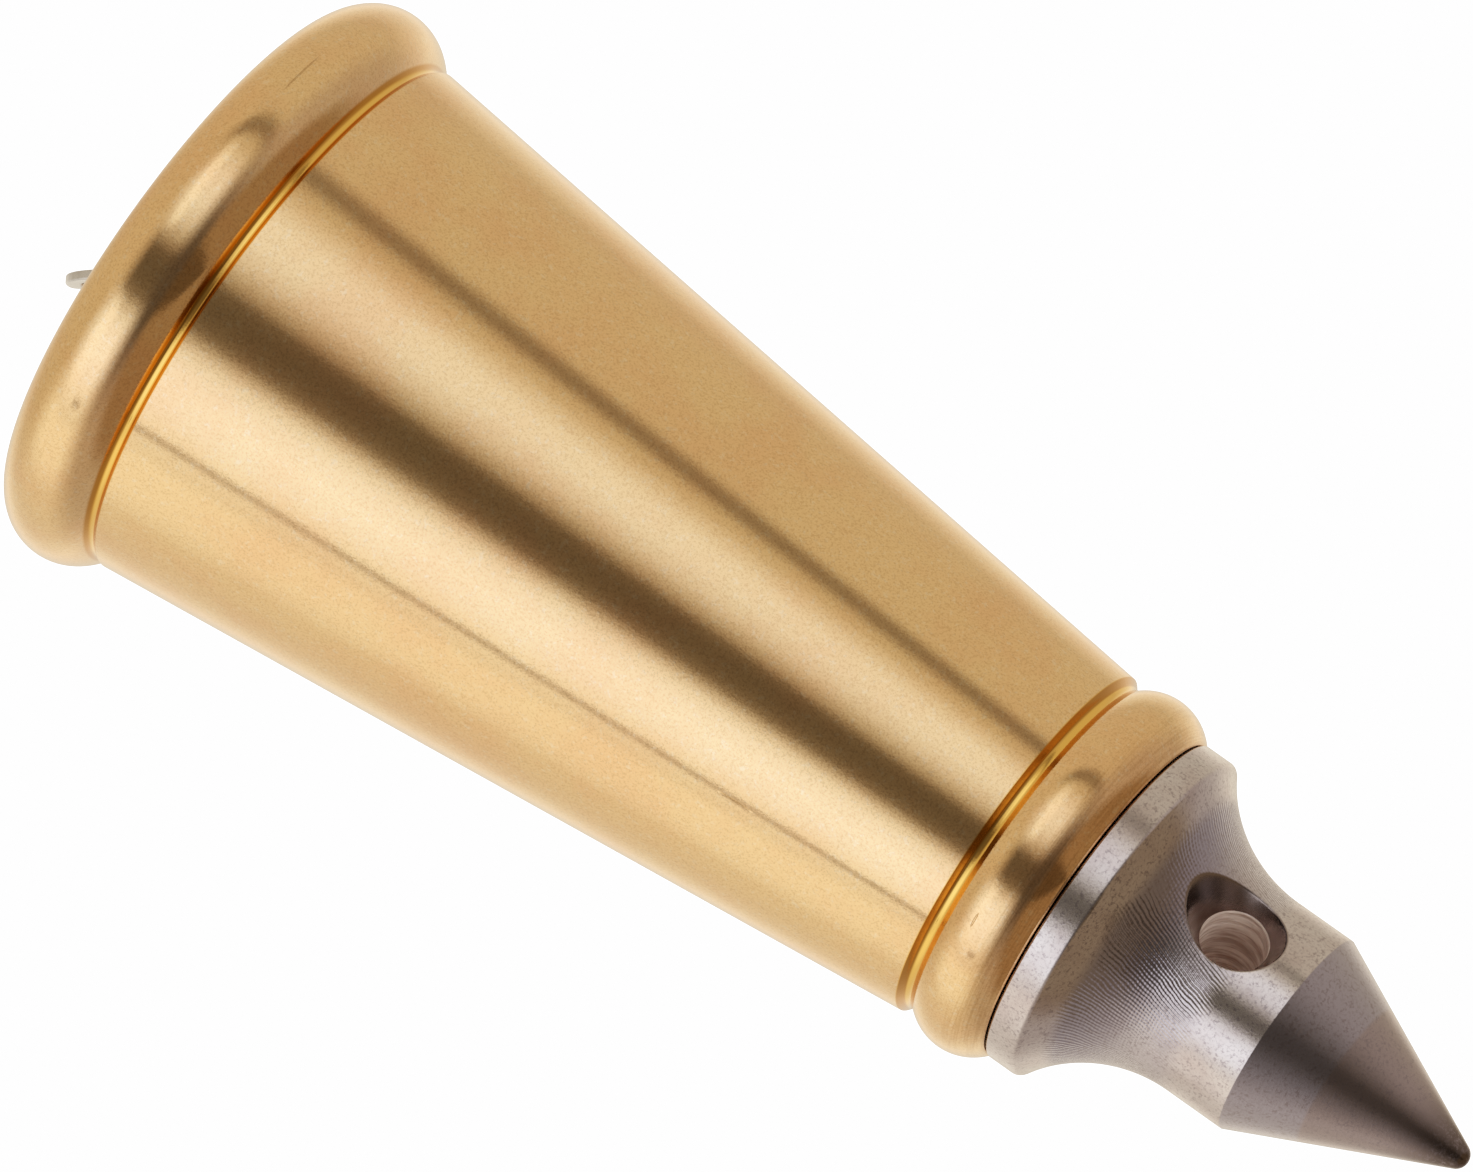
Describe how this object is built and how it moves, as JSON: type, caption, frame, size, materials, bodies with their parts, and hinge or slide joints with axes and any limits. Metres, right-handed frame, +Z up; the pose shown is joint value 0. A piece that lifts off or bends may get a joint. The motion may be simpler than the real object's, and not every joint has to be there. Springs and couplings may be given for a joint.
{
  "type": "plumb bob",
  "caption": "Conical brass plumb bob with rounded beads, a screw-in steel point and a swivel eye with a split ring recessed in its flat top.",
  "frame": {"origin": "centre of the swivel eye's hole, on the axis, 3 mm below the flat top face: the bob hangs from here", "axes": "+Z up along the axis, point down; +Y along the eye's hole in the resting pose"},
  "size_m": [0.04, 0.04, 0.1019],
  "materials": {
    "polished_brass": "satin polished, fine turning marks",
    "bush_brass": "as turned",
    "hardened_steel": "turned, hardened and tempered at the point",
    "bright_steel": "turned",
    "spring_steel": "rolled strip"
  },
  "bodies": {
    "bob": {"bob_body": "polished_brass", "gland_bush": "bush_brass"},
    "swivel": {"swivel_eye": "bright_steel", "thrust_washer": "bright_steel", "swivel_nut": "bright_steel"},
    "ring": {"split_ring": "spring_steel"},
    "washer": {"seat_washer": "bright_steel"},
    "point": {"steel_point": "hardened_steel"}
  },
  "joints": [
    {"name": "swivel_turn", "type": "hinge", "parent": "bob", "child": "swivel", "pos_m": [0, 0, 0], "axis": [0, 0, 1], "continuous": true},
    {"name": "ring_swing", "type": "hinge", "parent": "swivel", "child": "ring", "pos_m": [0, 0, 0], "axis": [0, 1, 0], "range_deg": [-16, 80]},
    {"name": "point_travel", "type": "slide", "parent": "bob", "child": "washer", "axis": [0, 0, -1], "range_m": [0, 0.01375]},
    {"name": "point_turn", "type": "hinge", "parent": "washer", "child": "point", "pos_m": [0, 0, -0.0665], "axis": [0, 0, -1], "range_deg": [0, 4140]}
  ],
  "couplings": [
    {"joint": "point_turn", "follows": "point_travel", "rad_per_m": 5026.5}
  ]
}
